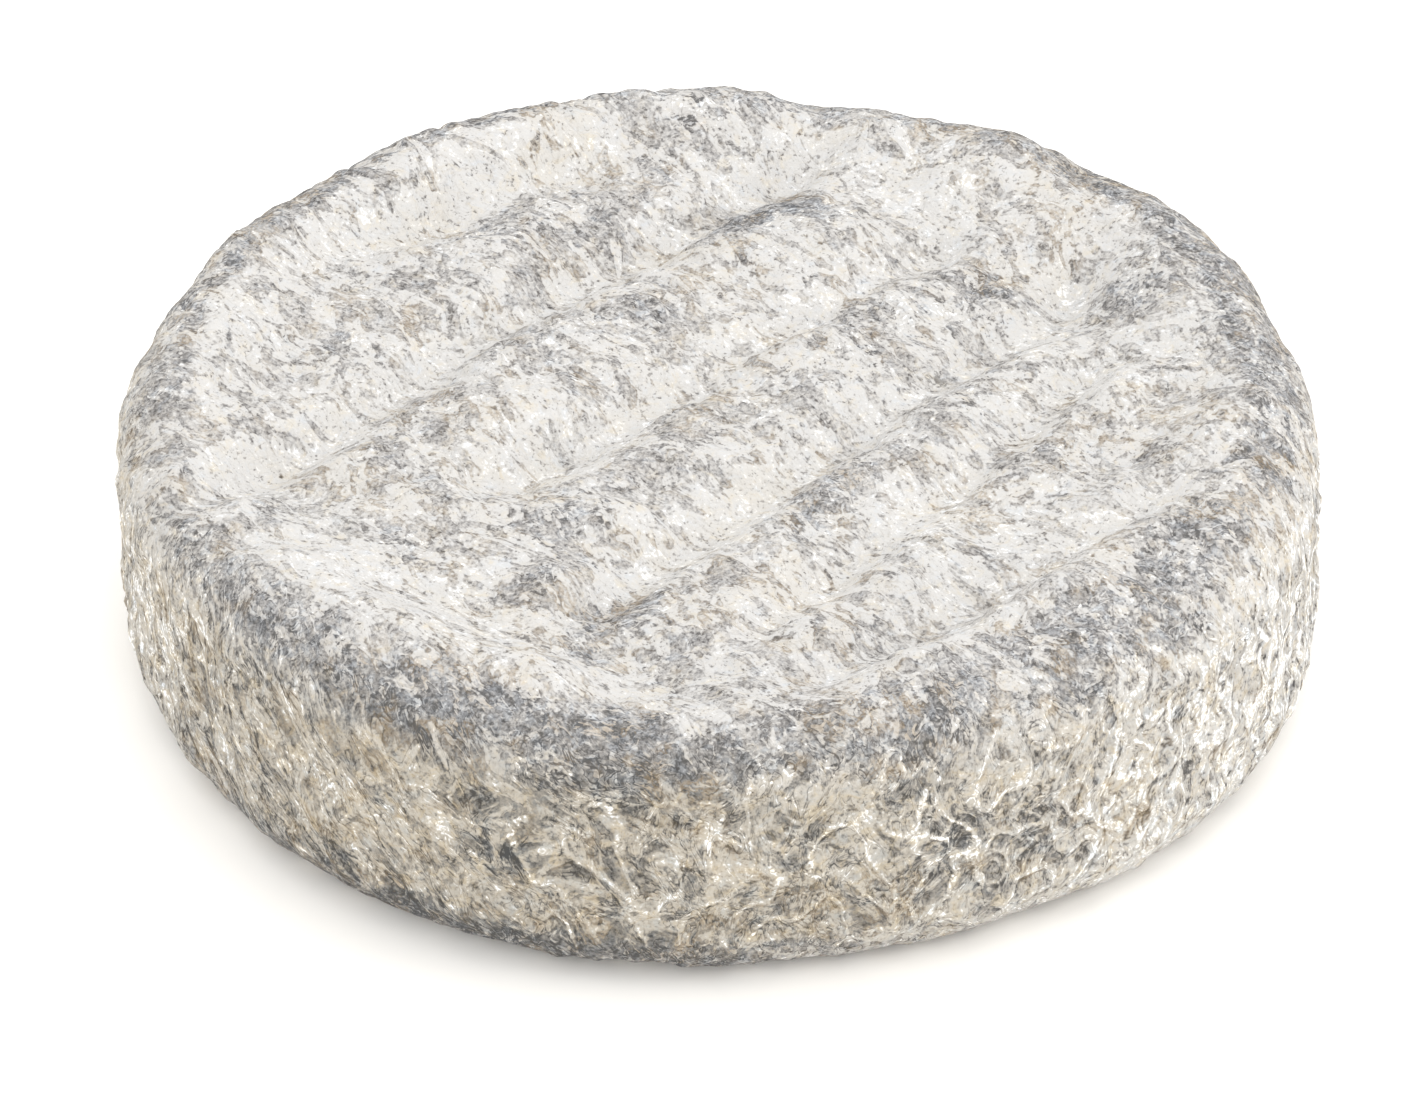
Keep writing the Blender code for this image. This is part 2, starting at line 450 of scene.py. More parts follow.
def wheelForm(x, y, run, w):  # the wheel without its fine skin, and what the skin needs to know
    angle = squareBearing(x, y) + math.radians(w["rackBearing"])
    out, height, lean = halfProfile(run, w)
    offset = np.zeros_like(angle)
    for count, cosine, sine in w["outlineWaves"]:
        offset += cosine * np.cos(count * angle) + sine * np.sin(count * angle)
    stretch = 1 + offset / w["radius"]
    x = out * stretch * np.cos(angle)
    y = out * stretch * np.sin(angle)
    sideways = np.sin(lean)
    upward = np.cos(lean)
    outward = np.stack((sideways * np.cos(angle), sideways * np.sin(angle), upward), axis=1)
    base = np.stack((x, y, height), axis=1)
    skin = sum(skinSwell(base, *swell, w) for swell in w["swells"])
    skin *= 1 - (1 - w["sideSwellShare"]) * smoothStep(sideways)
    skin += w["sideBulge"] * sideways * np.sin(math.pi * height / w["height"])
    topShare = np.clip(upward, 0, 1)
    underShare = np.clip(-upward, 0, 1)
    relief, floor = topRelief(x, y, w)
    underLift, underFloor = underRelief(x, y, w)
    form = base + outward * (skin * (1 - underShare))[:, None]
    form[:, 2] += topShare * relief + underShare * underLift
    return {
        "base": base,
        "form": form,
        "outward": outward,
        "angle": angle,
        "down": run - w["radius"] + w["topEdge"],  # along the skin below the brim
        "top": topShare,
        "under": underShare,
        "side": 1 - np.abs(upward),
        "floor": floor * topShare + underFloor * underShare,
    }


# the rind: where the ash shows, where the white mould covers it, and how the skin wrinkles
rind = {
    # noises of the skin: seed and size in mm, one size or three. On the top the three run along and
    # across the rack marks and up, and on the side sideways, back and up
    "grains": {
        "strandTop": (51, (2.5, 9.0, 9.0)),
        "strandSide": (52, (3.0, 3.0, 3.8)),
        "threadTop": (53, (1.2, 3.6, 3.6)),
        "threadSide": (54, (1.7, 1.7, 2.0)),
        "patchTop": (61, (3.0, 5.0, 4.0)),
        "patchSide": (62, 3.2),
        "spotTop": (63, (1.3, 2.8, 1.6)),
        "spotSide": (64, 1.5),
        "tone": (65, 5.0),
        "fineTone": (66, 1.7),
        "warmth": (67, 9.0),
        "fineWarmth": (68, 2.2),
        "network": (69, 4.0),
        "slabShift": (70, (2.4, 3.4, 2.4)),
        "hummockTop": (71, (5.5, 8.0, 6.0)),
        "slabTop": (72, (1.9, 3.4, 2.4)),
        "fineSlabTop": (73, (1.05, 2.0, 1.3)),
        "hummockSide": (74, 4.6),
        "lumpSide": (75, (2.1, 2.1, 2.8)),
        "pebbleSide": (76, 1.15),
    },
    # heights of the skin's relief in mm
    "heights": {
        "brow": 0.30,
        "pillow": 0.16,
        "hummockTop": 0.28,
        "slabTop": 0.26,
        "fineSlabTop": 0.20,
        "strand": 0.19,
        "thread": 0.05,
        "hummockSide": 0.26,
        "lumpSide": 0.30,
        "pebbleSide": 0.18,
        "sideSink": 0.2,
    },
    # first seed, size and reach of the slow pushes that bend the noises, for the top and the side
    "topDrifts": [(31, 7.0, 1.2), (34, 2.2, 0.4)],
    "sideDrifts": [(41, 6.0, 1.4), (44, 2.0, 0.5)],
    "slabReach": 1.2,
    # how far from zero a noise still gives a raised line
    "strandWidth": 0.24,
    "threadWidth": 0.26,
    # where the side's wrinkles are long and lean to the right
    "leanBearing": -142,
    "leanHalfTurn": 35,
    "leanSlant": 0.55,
    "leanSqueeze": 0.2,
    "strandShadeBelow": 0.55,  # mm from a raised line to the painted shade line below it
    "threadShadeBelow": 0.35,
    # parts of the side: bearing, half width and share
    # at -20 the side takes the top's paler tones: partly whiter mould, partly painted light where the
    # right lamp falls
    "greyStretches": [(-20, 44, 0.7), (-172, 30, 0.35)],
    "pleatedStretches": [(-20, 44, 0.7), (-155, 34, 0.55)],
    # ash below each rack mark, as (start, end, reach down, cover); one list for each mark
    "banks": [
        [(-14, 19, 12, 0.35)],
        [(-20, 12, 12, 0.30), (12, 28, 9, 0.40)],
        [(-24, -8, 9, 0.20), (-6, 24, 9, 0.40), (24, 34, 6, 0.25)],
        [(-30, -18, 9, 0.30), (-8, 22, 9, 0.50)],
        [(-26, -4, 9, 0.20), (6, 30, 12, 0.30)],
        [(-16, 26, 12, 0.30)],
    ],
    # a bank starts part of the way down its mark, in arches between the strands
    "markShare": 0.62,  # of the mark's half width
    "archDepth": 1.6,  # mm
    "archSteepness": 2.2,
    "archLift": 0.5,
    "bankEndFade": 3.0,
    "bankRise": 0.9,
    "bankFade": (0.35, 1.25),  # shares of the reach
    "browFade": (0.5, 0.8),  # from mm below the mark, to a share of the reach
    "floorCover": -0.35,  # mould lies in the floors
    # patches: along, across, half length, half width, cover (below 0 for mould)
    "patches": [
        (11, 32, 2, 2, 0.5),
        (3, 31, 4, 3, 0.4),
        (-9, 34, 2, 2, 0.3),
        (-7, 27, 2, 4, 0.1),
        (0, 23.5, 3, 2, 0.4),
        (-17, 26, 3, 3, 0.4),
        (-7, 19, 4, 3, 0.6),
        (3, 15, 5, 3, 0.4),
        (-6, 10, 2, 4, 0.4),
        (12, 26, 2.5, 2, 0.3),
        (20, 30, 3, 3, 0.4),
        (21, 20, 5, 2.5, 1.9),
        (25, 15, 2, 4, 0.7),
        (27, 7.5, 2, 1.5, 0.5),
        (28, -1, 3.5, 2.5, 1.4),
        (24.5, -5.5, 2.5, 2, 0.7),
        (21, -5, 2, 3, 0.5),
        (15, -1, 3.5, 2.5, 0.4),
        (-2, 2, 2, 2, 0.3),
        (36, -11, 5, 3, 0.8),
        (1.5, -13, 3, 2.5, 0.4),
        (-3.5, -13, 2, 2, 0.4),
        (-11, -17, 5, 3, 0.3),
        (-13, -2, 2, 2, 0.2),
        (15, -20, 5, 4, 0.4),
        (3, -27, 1.5, 5, 0.5),
        (-12, -33, 4, 3, 0.6),
        (-23, -22, 2, 4, 0.6),
        (-30, -17, 2, 1.5, 1.3),
        (-27, -8, 4, 2, 1.1),
        (-20, -3, 5, 3, 0.6),
        (-31.5, 1.5, 2.5, 2, 1.2),
        (-24, 8, 2.5, 5, 0.5),
        (-25, 15, 4, 3, 0.4),
        (-16, 16, 5, 2, 0.3),
        (-36, 12, 3, 4, 0.4),
        (-30, 27, 2.5, 2, 0.1),
        (-17, 35, 2, 4, 0.5),
        (33, 13, 3, 4, -0.7),
        (27, 24, 5, 4, -0.9),
        (3, 37.5, 12, 2.5, -0.8),
        (-33, 18, 8, 2, -0.7),
        (-16, 7, 6, 4, -0.4),
        (-6, 3.5, 4, 2, -0.5),
        (-10.5, -10, 4, 3, -0.6),
        (-38, -4, 6, 8, -0.9),
        (25, -8, 2.5, 4, -0.7),
        (28, -17, 4, 3, -0.6),
        (1, -22, 4, 4, -0.7),
        (-7, -36.5, 5, 3, -0.6),
        (12, 8, 9, 1.5, -0.4),
        (-13, 12.5, 3, 3, -0.4),
        (16, 23, 4, 2.5, -0.5),
        (-23.5, -14, 3, 2.5, 1.5),
        (24, -21, 5, 3, -0.5),
        (35, -3, 3, 3, -0.6),
        (6, -16.5, 4, 2, -0.9),
        (19, -13, 3, 2.5, -0.6),
        (11.5, -25, 4, 3, -0.6),
        (32, -21, 4, 3, -0.7),
        (-5, -21, 3, 2.5, -0.7),
        (8, -28, 4, 3, -0.5),
        (18, -35, 3, 3, -0.7),
        (-13, 31, 3, 2, -1.0),
        (-30, 4, 2.5, 2, 0.5),
    ],
    # bands of ash round the rim: bearings from and to, depth below the brim from and to, cover
    "rimBands": [
        (-175, -135, 1.2, 7.5, 0.75),
        (-137, -107, 0.5, 7.4, 1.15),
        (-110, -87, 2.2, 8.6, 1.45),
        (-89, -62, 1.0, 8.0, 0.90),
        (-60, -16, -2.5, 4.0, 0.70),
        (-18, 62, -0.2, 7.0, 1.05),
        (60, 96, 0.5, 8.0, 0.80),
        (94, 187, 0.6, 8.0, 1.00),
    ],
    "bandFade": 8.0,  # degrees
    "bandEdges": (0.8, 3.0),  # half widths in mm of the upper and the lower edge
    "bandWobble": 0.7,  # mm that the strands move the edges
    # patches on the rim and side: bearing, depth below the brim, half width in degrees,
    # half depth, cover
    "rimPatches": [
        (-121, 4.8, 4, 2, 1.6),
        (-152, 4.5, 5, 2, 0.4),
        (-94, 3, 3, 1.6, -0.6),
        (-70, 5, 3, 3, 0.5),
        (-57, 0, 5, 2, 0.4),
        (-54, 6.3, 4.5, 2.2, 1.4),
        (-47, 3.2, 5, 1.5, 0.2),
        (-36, 1, 7, 2.5, 0.1),
        (-65, 5, 2.5, 1.5, -0.3),
        (-66, 10, 3, 2, -0.6),
        (-54, 12, 7, 5, -0.8),
        (-109, 14.8, 4, 2.6, 1.5),
        (-77, 15, 3, 2, -0.6),
        (-92, 13, 2.5, 2, -0.9),
        (-88, 16, 3, 1.5, -0.9),
        (-64, 17, 8, 4, 0.5),
        (-121, 13, 8, 5, -0.5),
        (-149, 18.5, 4, 2.5, 0.7),
        (-116, 24.5, 28, 3, 2.0),
        (-22, 14, 26, 9, -1.2),
        (-176, 13, 20, 9, -1.2),
        (-55, 25, 20, 3, -0.8),
        (-140, 3.8, 5, 1.8, 1.3),
        (-127, 1.6, 4, 1.4, -0.7),
        (-101, 1.8, 3.5, 1.5, 1.7),
        (-112, 10.5, 3, 2, 0.5),
        (-83, 9, 4, 2.2, -0.9),
        (-76.5, 10.5, 3, 2, -0.5),
        (-160, 14, 6, 6, -0.5),
        (92, -1, 5, 2, 1.0),
        (72, -1, 5, 2, 0.5),
        (44, -1.5, 5, 2, 0.5),
        (163, -1, 6, 2, -0.5),
        (-41, 5, 5, 2, 1.2),
        (-8, 6, 10, 2.5, -0.6),
        (-80, 1.5, 4, 1.5, 0.6),
        (-175, 1.4, 5, 2, -0.4),
        (-163, 1.0, 5, 1.5, 0.5),
        (139, 0.4, 5, 2, 0.6),
        (-94, 24, 8, 2, 0.6),
        (-98, 0.3, 4, 1.6, 1.1),
        (10, -0.5, 6, 1.6, 0.8),
        (-71, 9, 3, 2.5, 0.5),
        (-68, 15.5, 3, 2.5, 0.6),
        (-14, 3, 5, 3, 0.4),
    ],
    # raised white network on the side: bearing, half width, depth, half depth, strength
    "networks": [(-62, 22, 15, 8, 0.8), (-95, 14, 14, 5, 0.3), (-150, 20, 14, 8, -0.2)],
    # ash on the underside: on its lands, and how much less in its marks
    "underCover": 0.54,
    "underFloorCover": 0.9,
    "coverSpread": 0.5,  # how far the middling noise moves the edge between ash and mould
}


def ashCover(form, chart, strand, w, r):  # 0 as on average, up towards bare ash, down to full mould
    along, across = chart[:, 0], chart[:, 1]
    arch = r["archDepth"] * np.minimum(np.abs(strand) * r["archSteepness"], 1) - r["archLift"]
    bank = np.zeros_like(along)
    brow = np.zeros_like(along)
    fadeStart, fadeEnd = r["bankFade"]
    browStart, browEnd = r["browFade"]
    for mark, stretches in zip(w["rackMarks"], r["banks"]):
        below = markLine(mark, along, w) - r["markShare"] * mark[6] + arch - across
        for start, end, reach, cover in stretches:
            ends = window(along, start, end, r["bankEndFade"])
            rise = smoothStep(below / r["bankRise"])
            fade = 1 - between(below, fadeStart * reach, fadeEnd * reach)
            bank = np.maximum(bank, cover * ends * rise * fade)
            brow = np.maximum(brow, ends * rise * (1 - between(below, browStart, browEnd * reach)))
    cover = bank + r["floorCover"] * form["floor"]
    for centre, level, halfLength, halfWidth, extra in r["patches"]:
        cover += extra * bell(np.hypot((along - centre) / halfLength, (across - level) / halfWidth))
    cover *= form["top"]
    cover += (r["underCover"] - r["underFloorCover"] * form["floor"]) * form["under"]
    down = form["down"] + r["bandWobble"] * strand
    upperEdge, lowerEdge = r["bandEdges"]
    band = np.zeros_like(along)
    for first, last, upper, lower, extra in r["rimBands"]:
        spread = (last - first) / 2
        aside = np.abs(turnBetween(form["angle"], first + spread))
        ends = smoothStep((spread - aside) / r["bandFade"] + 0.5)
        inside = between(down, upper - upperEdge, upper + upperEdge)
        inside *= 1 - between(down, lower - lowerEdge, lower + lowerEdge)
        band = np.maximum(band, extra * ends * inside)
    cover += band
    for bearing, level, halfTurn, halfDepth, extra in r["rimPatches"]:
        turn = turnBetween(form["angle"], bearing) / halfTurn
        cover += extra * bell(turn) * bell((down - level) / halfDepth)
    return cover, brow * form["top"]


def rindSkin(form, w, r):  # relief in mm and the fields that the colours use
    base = form["base"]
    x, y, height = base.T
    side, floor, angle = form["side"], form["floor"], form["angle"]
    top = 1 - side
    tall = r["heights"]

    def grain(name, points):
        seed, size = r["grains"][name]
        return Grain(seed).at(points, size)

    def shareOf(stretches):  # how much of the side's stretches there is at each point
        total = 0
        for bearing, halfTurn, share in stretches:
            total = total + share * bell(turnBetween(angle, bearing) / halfTurn)
        return total

    along, across = rackAxes(x, y, w)
    chart = np.stack((along, across, height), axis=1)
    for seed, size, reach in r["topDrifts"]:
        chart = drift(chart, seed, size, reach)
    lean = bell(turnBetween(angle, r["leanBearing"]) / r["leanHalfTurn"])
    turn = angle + r["leanSlant"] * lean * height / w["radius"]
    out = np.hypot(x, y)
    squeezed = height * (1 - r["leanSqueeze"] * lean)
    wall = np.stack((out * np.cos(turn), out * np.sin(turn), squeezed), axis=1)
    for seed, size, reach in r["sideDrifts"]:
        wall = drift(wall, seed, size, reach)

    strandTop, strandSide = grain("strandTop", chart), grain("strandSide", wall)
    threadTop, threadSide = grain("threadTop", chart), grain("threadSide", wall)
    cover, brow = ashCover(form, chart, strandTop, w, r)
    patchy = 0.6 * top * (grain("patchTop", chart) + grain("spotTop", chart))
    patchy += 0.6 * side * (grain("patchSide", wall) + grain("spotSide", wall))
    tone = 0.2 + 0.3 * cover + 0.4 * grain("tone", base) + 0.3 * grain("fineTone", base)
    warmth = 0.3 + 0.5 * grain("warmth", base) + 0.9 * grain("fineWarmth", base)

    # how much of the raised network there is
    network = 0.55 + 0.7 * grain("network", wall)
    for bearing, halfTurn, level, halfDepth, extra in r["networks"]:
        near = bell(turnBetween(angle, bearing) / halfTurn) * bell((form["down"] - level) / halfDepth)
        network += extra * near
    network = np.clip(network, 0, 1) * side + 0.8 * top

    # relief of the top: swollen brows below the rack marks, pillows and overlapping slabs
    rough = 1 - 0.8 * floor
    pillow = smoothStep(np.abs(strandTop) * 2.5)
    slab = chart + np.array((0, r["slabReach"], 0)) * grain("slabShift", chart)[:, None]
    topSkin = tall["brow"] * brow * (0.5 + 0.5 * pillow) + tall["pillow"] * pillow * rough
    for name, places in [("hummockTop", chart), ("slabTop", slab), ("fineSlabTop", slab)]:
        topSkin += rough * tall[name] * grain(name, places)
    # relief of the side: raised strands and threads on lumps
    strandRidge = tall["strand"] * bell(strandSide / r["strandWidth"])
    threadRidge = tall["thread"] * bell(threadSide / r["threadWidth"])
    sideSkin = network * (strandRidge + threadRidge) - tall["sideSink"]
    for name in ("hummockSide", "lumpSide", "pebbleSide"):
        sideSkin += tall[name] * grain(name, wall)
    fields = {
        "ash": cover + r["coverSpread"] * patchy,
        "strand": strandTop * top + strandSide * side,
        "thread": threadTop * top + threadSide * side,
        # the side's lines a little higher up, for the painted shade line below each raised one
        "strandAbove": grain("strandSide", wall + (0, 0, r["strandShadeBelow"])),
        "threadAbove": grain("threadSide", wall + (0, 0, r["threadShadeBelow"])),
        "tone": tone,
        "warmth": warmth,
        "side": side,
        "beige": side * (1 - shareOf(r["greyStretches"])),
        "pleated": side * shareOf(r["pleatedStretches"]),
        "network": network,
        "patchy": patchy,
        "topFlow": chart / (1.0, 1.8, 1.8),
        "sideFlow": wall / (1.0, 1.0, 1.6),
    }
    return topSkin * top + sideSkin * side, fields


def buildWheel(w, r):
    (x, y, run), faces, layout = cutBox(w)
    form = wheelForm(x, y, run, w)
    skin, fields = rindSkin(form, w, r)
    low, high = [np.array(corner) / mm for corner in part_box(w["node"])]
    shape = form["form"]
    move = (low + high) / 2 - (shape.min(axis=0) + shape.max(axis=0)) / 2
    move[2] = low[2] - shape[:, 2].min()
    points = shape + move + form["outward"] * skin[:, None]
    points[:, 2] = np.maximum(points[:, 2], low[2])  # it rests on its lands

    mesh = bpy.data.meshes.new("cheese_rind")
    mesh.from_pydata((points * mm).tolist(), [], faces)
    flat = mesh.uv_layers.new(name="OFBake")
    flat.data.foreach_set("uv", layout.astype(np.float32).ravel())
    for name, values in fields.items():
        kind, part = ("FLOAT_VECTOR", "vector") if values.ndim == 2 else ("FLOAT", "value")
        field = mesh.attributes.new(name, kind, "POINT")
        field.data.foreach_set(part, values.astype(np.float32).ravel())
    mesh.shade_smooth()
    piece = bpy.data.objects.new("cheese_rind", mesh)
    bpy.context.scene.collection.objects.link(piece)
    return piece


cheese = buildWheel(wheel, rind)
print("rind built:", len(cheese.data.polygons), "faces")


# noises and mixes for the material
def field(tree, name, output="Fac"):
    return addNode(tree, "ShaderNodeAttribute", {"attribute_name": name}, {}, output)


def stretched(place, factors):
    return addNode(place.tree, "ShaderNodeVectorMath", {"operation": "MULTIPLY"}, {0: place, 1: factors})


def moved(place, step):
    return addNode(place.tree, "ShaderNodeVectorMath", {"operation": "ADD"}, {0: place, 1: step})


def noise(place, size, detail, roughness, distortion):  # about -1 to 1
    values = {"Vector": place, "Scale": 1 / size, "Detail": detail}
    values.update({"Roughness": roughness, "Distortion": distortion})
    return 4 * (addNode(place.tree, "ShaderNodeTexNoise", {}, values, "Fac") - 0.5)


def cells(place, size):  # one value for each cell, -1 to 1
    values = {"Vector": place, "Scale": 1 / size}
    return 2 * (addNode(place.tree, "ShaderNodeTexVoronoi", {}, values, "Color") - 0.5)


def line(value, full, gone):  # 1 where the value crosses zero, 0 away from there
    return 1 - abs(value).rise(full, gone)


def mix(factor, first, second, blend="MIX"):
    settings = {"data_type": "RGBA", "blend_type": blend}
    return addNode(factor.tree, "ShaderNodeMix", settings, {0: factor, 6: first, 7: second}, 2)


def ramp(factor, stops):
    return addNode(factor.tree, "ShaderNodeValToRGB", {"stops": stops}, {"Fac": factor})


def weighed(forms, weights):  # the named forms, each times its weight, in one sum
    return sum(forms[name] * weight for name, weight in weights.items())


# the rind's colours, as they look in the studio light
topLight = 1.40
sideLight = 1.18
paint = {
    # from bare ash to full mould, and up to plain white on the palest lines
    "topTones": [
        (0.00, shade(116, 114, 112, topLight)),
        (0.18, shade(160, 157, 155, topLight)),
        (0.36, shade(196, 193, 190, topLight)),
        (0.50, shade(217, 214, 210, topLight)),
        (0.64, shade(228, 226, 223, topLight)),
        (0.82, shade(233, 231, 228, topLight)),
        (1.00, (1.0, 1.0, 1.0, 1.0)),
    ],
    "sideTones": [
        (0.00, shade(84, 82, 79, sideLight)),
        (0.18, shade(120, 117, 112, sideLight)),
        (0.36, shade(152, 147, 138, sideLight)),
        (0.50, shade(174, 167, 155, sideLight)),
        (0.66, shade(192, 185, 173, sideLight)),
        (0.82, shade(201, 195, 184, sideLight)),
        (1.00, (1.0, 1.0, 1.0, 1.0)),
    ],
    # tints that the tones are multiplied with
    "warmTint": (1.0, 0.985, 0.955, 1.0),
    "coolTint": (0.975, 0.99, 1.01, 1.0),
    "straw": (1.03, 0.975, 0.87, 1.0),
    "slate": (0.945, 0.995, 1.06, 1.0),
    # painted shade for the side's upward faces
    "ledgeTint": (0.78, 0.78, 0.78, 1.0),
    # colours that are laid over them
    "ochre": shade(190, 164, 126, topLight),
    "pit": shade(84, 80, 76, topLight),
    # noises: size in mm, detail, roughness, distortion
    "noises": {
        "patch": (2.4, 2.5, 0.65, 0.9),
        "streak": (0.9, 1.0, 0.5, 0.8),
        "cream": (2.6, 3.0, 0.5, 2.0),
        "curl": (1.1, 1.5, 0.5, 1.8),
        "wrinkle": (1.1, 1.5, 0.5, 1.4),
        "scribble": (0.8, 2.0, 0.5, 1.6),
        "wisp": (1.5, 2.0, 0.55, 1.0),
        "ribbon": (1.5, 2.0, 0.5, 1.3),
        "fleck": (0.77, 1.0, 0.5, 1.6),
        "hue": (1.1, 3.0, 0.65, 0.8),
        "flake": (0.8, 2.0, 0.7, 0.6),
        "grit": (0.3, 1.0, 0.6, 0.5),
    },
    # small flat scales: the slow noise that bends them, how far it does, and their sizes in mm
    "scaleBends": {"Scale": 1.2, "Detail": 2.0},
    "scaleReach": 1.4,
    "scaleSizes": (1.1, 0.5),
    # steps, in mm, from a place to the form that shades it
    "topStep": (0, 0.22, 0),
    "sideStep": (0, 0, 0.20),
    "lipHighlightStep": (0, 0, 0.13),
    "ribbonStep": (-0.22, 0.10, 0.12),
    "fleckStep": (0, 0, 0.16),
    # how far each form moves the tone from bare ash, 0, towards full mould, 1
    "topStart": 0.425,
    "topWeights": {
        "ash": -0.15,
        "ashless": -0.20,
        "ashHair": 0.10,
        "mould": 0.29,
        "margin": -0.05,
        # painted shadow below the plates, painted light and shade on their edges, and the creases'
        # painted shade and highlights
        "lower": -0.08,
        "paintedShading": 0.05,
        "relief": 1.2,
        "wisp": -0.17,
    },
    "topGrain": {"flake": 0.10, "grit": 0.18, "scales": 0.20},  # weaker on the mould
    "sideStart": 0.497,
    "sideWeights": {
        "mould": 0.12,
        # painted shadow below the plates, and the creases' painted shade and highlights
        "lower": -0.12,
        "relief": 1.0,
        "core": -0.14,
        "veinShade": -0.20,
        "hairShade": -0.14,
        "flake": 0.09,
        "grit": 0.14,
        "scales": 0.05,
        "scribble": -0.16,
    },
    "sideMost": 0.95,
    "sharedWeights": {"tone": -0.05, "fleck": 0.26, "fleckShade": -0.14},
    # the bump's height in mm, at full strength
    "heights": {
        "lift": 0.08,
        "ash": 0.032,
        "mould": 0.03,
        "flake": 0.05,
        "grit": 0.04,
        "topVein": 0.06,
        "topHair": 0.04,
        "dash": -0.08,
    },
    "bumpStrength": 0.5,
    "roughness": 0.68,  # of bare ash
    "mouldRoughness": 0.2,  # how much rougher the mould is
}


def rindForms(tree, p):  # what the rind is made of, as values over its surface
    names = ["strand", "thread", "strandAbove", "threadAbove", "tone", "warmth"]
    names += ["side", "beige", "pleated", "network", "patchy"]
    f = {name: field(tree, name) for name in names}
    f["ash"] = ash = field(tree, "ash").atMost(1.6)
    side, network, pleated = f["side"], f["network"], f["pleated"]
    topFlow, sideFlow = field(tree, "topFlow", "Vector"), field(tree, "sideFlow", "Vector")
    place = stretched(addNode(tree, "ShaderNodeNewGeometry", {}, {}, "Position"), (1 / mm,) * 3)
    noises = p["noises"]
    f["hue"] = noise(place, *noises["hue"])
    f["flake"] = flake = noise(place, *noises["flake"])
    f["grit"] = grit = noise(place, *noises["grit"])
    # painted shade on the upper faces of the side's ridges, against the extra light they catch
    facing = addNode(tree, "ShaderNodeNewGeometry", {}, {}, "Normal")
    upward = addNode(tree, "ShaderNodeSeparateXYZ", {}, {"Vector": facing}, "Z")
    f["ledge"] = (upward + side - 1).rise(0.0, 0.40)
    # scales of two sizes
    bend = addNode(tree, "ShaderNodeTexNoise", {}, {"Vector": topFlow, **p["scaleBends"]}, "Color")
    bent = moved(topFlow, stretched(bend, (p["scaleReach"],) * 3))
    wide, narrow = p["scaleSizes"]
    f["scales"] = 0.6 * cells(bent, wide) + 0.5 * cells(bent, narrow)

    # raised lines of mould, and a painted shade line below each of them
    strand = f["strand"] + flake * 0.05
    f["vein"] = vein = line(strand, 0.02, 0.09 + side * network * 0.08) * network
    f["core"] = abs(strand).rise(0.16, 0.42) * network.rise(0.55, 1.0) * side
    f["hair"] = hair = line(f["thread"] + flake * 0.10, 0.03, 0.14) * network
    veinBelow = line(f["strandAbove"] + flake * 0.05, 0.02, 0.16)
    hairBelow = line(f["threadAbove"] + flake * 0.08, 0.03, 0.18)
    f["topVein"], f["topHair"] = vein * (1 - side), hair * (1 - side)
    f["veinShade"] = veinBelow * network * (1 - vein) * side
    f["hairShade"] = hairBelow * network * (1 - hair) * side

    # patches of mould over the ash: a painted highlight along their upper edges, and painted shadow
    # below their lower edges
    def plates(topPlace, sidePlace):
        narrow = stretched(topPlace, (1.0, 0.75, 0.75))
        onTop = 0.9 * noise(topPlace, *noises["patch"]) + 0.5 * noise(narrow, *noises["streak"])
        onSide = 0.8 * noise(sidePlace, *noises["cream"]) + 0.45 * noise(sidePlace, *noises["curl"])
        return onTop * (1 - side) + onSide * side

    shared = flake * 0.2 - ash * 0.40 + vein * (0.25 + side * 0.35) + hair * side * 0.2
    f["lift"] = lift = plates(topFlow, sideFlow) + shared
    liftAbove = plates(moved(topFlow, p["topStep"]), moved(sideFlow, p["sideStep"])) + shared
    f["mould"] = mould = lift.rise(-0.12, 0.14)
    f["lower"] = liftAbove.rise(-0.12, 0.14) - mould
    f["margin"] = lift.rise(-0.40, -0.18) * (1 - lift.rise(-0.16, -0.02))
    f["paintedShading"] = liftAbove - lift
    f["bare"] = ash.rise(0.1, 1.1) * (1 - mould)
    f["ashless"] = ash.rise(-0.4, -1.2)
    f["ashHair"] = hair * ash.rise(-0.2, 0.6)
    f["wisp"] = line(noise(topFlow, *noises["wisp"]) + grit * 0.08, 0.02, 0.15) * mould
    f["speck"] = (flake * 0.6 + grit * 0.8).rise(-0.36, -0.80) * mould
    f["dash"] = (lift + ash * 0.4 + flake * 0.6 + grit * 0.3).rise(-0.75, -1.2)

    # creases of the skin darkened with painted shade, each with a painted highlight on the lip under it
    def wrinkles(place):
        flattened = stretched(place, (1.0, 1.0, 0.85))
        return line(noise(flattened, *noises["wrinkle"]) + flake * 0.05, 0.0, 0.17)

    creaseShade = wrinkles(sideFlow)
    lipHighlight = wrinkles(moved(sideFlow, p["lipHighlightStep"])) * (1 - creaseShade)
    wrinkled = side.rise(0.02, 0.5) * (f["patchy"] + lift * 0.2).rise(-0.7, 0.3) * (1 - pleated * 0.4)
    # this relief is only painted shade and highlight in the tone, not a bump
    f["relief"] = (lipHighlight * 0.22 - creaseShade * 0.34) * wrinkled
    scribble = line(noise(sideFlow, *noises["scribble"]) + grit * 0.06, 0.02, 0.10)
    f["scribble"] = scribble * f["patchy"].rise(-0.4, 0.2)

    # upright pale ribbons with a painted shade line beside them
    def ribbons(place):
        upright = stretched(place, (1.0, 1.0, 0.5))
        return (noise(upright, *noises["ribbon"]) + flake * 0.08).rise(-0.22, 0.16)

    f["ribbon"] = ribbons(sideFlow)
    f["ribbonShade"] = (ribbons(moved(sideFlow, p["ribbonStep"])) - f["ribbon"]).atLeast(0)

    # pale curls lying on the ash, with painted shade below them
    def curls(place):
        return noise(place, *noises["fleck"]).rise(0.38, 0.54) * ash.rise(0.0, 0.8)

    f["fleck"] = curls(sideFlow)
    f["fleckShade"] = (curls(moved(sideFlow, p["fleckStep"])) - f["fleck"]).atLeast(0)
    return f


